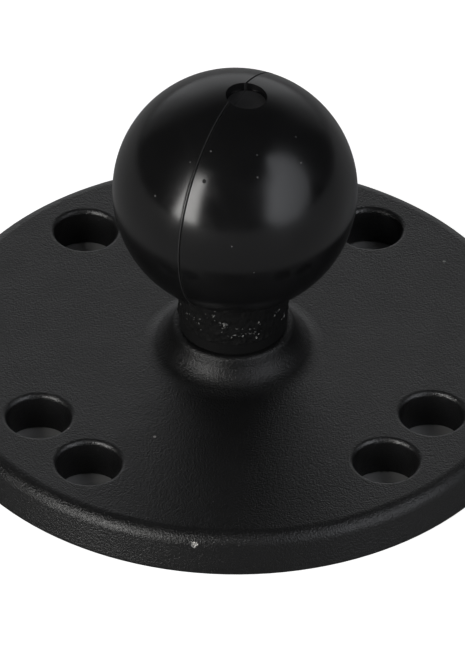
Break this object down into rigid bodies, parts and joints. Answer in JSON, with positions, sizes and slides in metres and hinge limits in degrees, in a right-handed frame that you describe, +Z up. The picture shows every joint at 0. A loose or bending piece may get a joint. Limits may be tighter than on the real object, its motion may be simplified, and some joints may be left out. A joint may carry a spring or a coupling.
{
  "type": "ball mount base",
  "caption": "Round powder-coated metal plate with mounting holes and a rubber-covered ball on a short stud, the base of a clamping swivel arm for a device holder.",
  "frame": {"origin": "centre of the plate's flat underside, on the ball's axis", "axes": "+Z runs up the stud to the ball; +X lies along the rectangle's short spacing of 30.17 mm; -Y is the front, where two holes of the circle sit beside two of the rectangle"},
  "size_m": [0.0634, 0.0634, 0.037],
  "materials": {
    "base_plate": "black powder coat over die-cast aluminium",
    "ball_stud": "turned aluminium",
    "ball_cover": "smooth moulded, satin black",
    "retaining_screw": "zinc plated",
    "lock_washer": "zinc plated"
  },
  "bodies": {
    "root": {"base_plate": "base_plate", "ball_stud": "ball_stud", "ball_cover": "ball_cover", "retaining_screw": "retaining_screw", "lock_washer": "lock_washer"}
  },
  "joints": []
}
